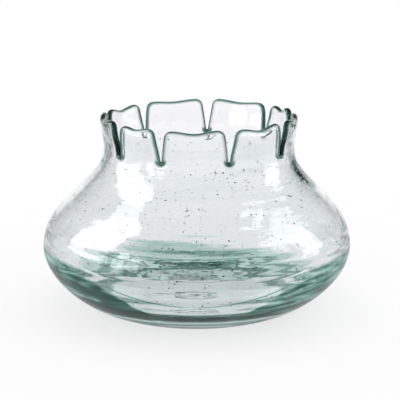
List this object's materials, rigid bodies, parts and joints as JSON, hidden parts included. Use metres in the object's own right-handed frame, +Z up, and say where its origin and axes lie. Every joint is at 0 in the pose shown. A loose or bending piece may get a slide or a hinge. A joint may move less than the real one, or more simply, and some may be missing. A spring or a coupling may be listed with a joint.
{
  "type": "bud vase",
  "caption": "Low round blown-glass bud vase with a squashed bowl, thick base, short neck and a rim cut into fire-polished tabs.",
  "frame": {"origin": "centre of the flat foot ring's plane, on the table under the vase's axis", "axes": "+Z up along the vase's axis, -Y towards the picture's viewer, +X to the viewer's right"},
  "size_m": [0.161, 0.161, 0.1023],
  "materials": {
    "green_glass": "clear pale green hand-blown glass with seeds and cords, fire-polished"
  },
  "bodies": {
    "root": {"glass_vase": "green_glass"}
  },
  "joints": []
}
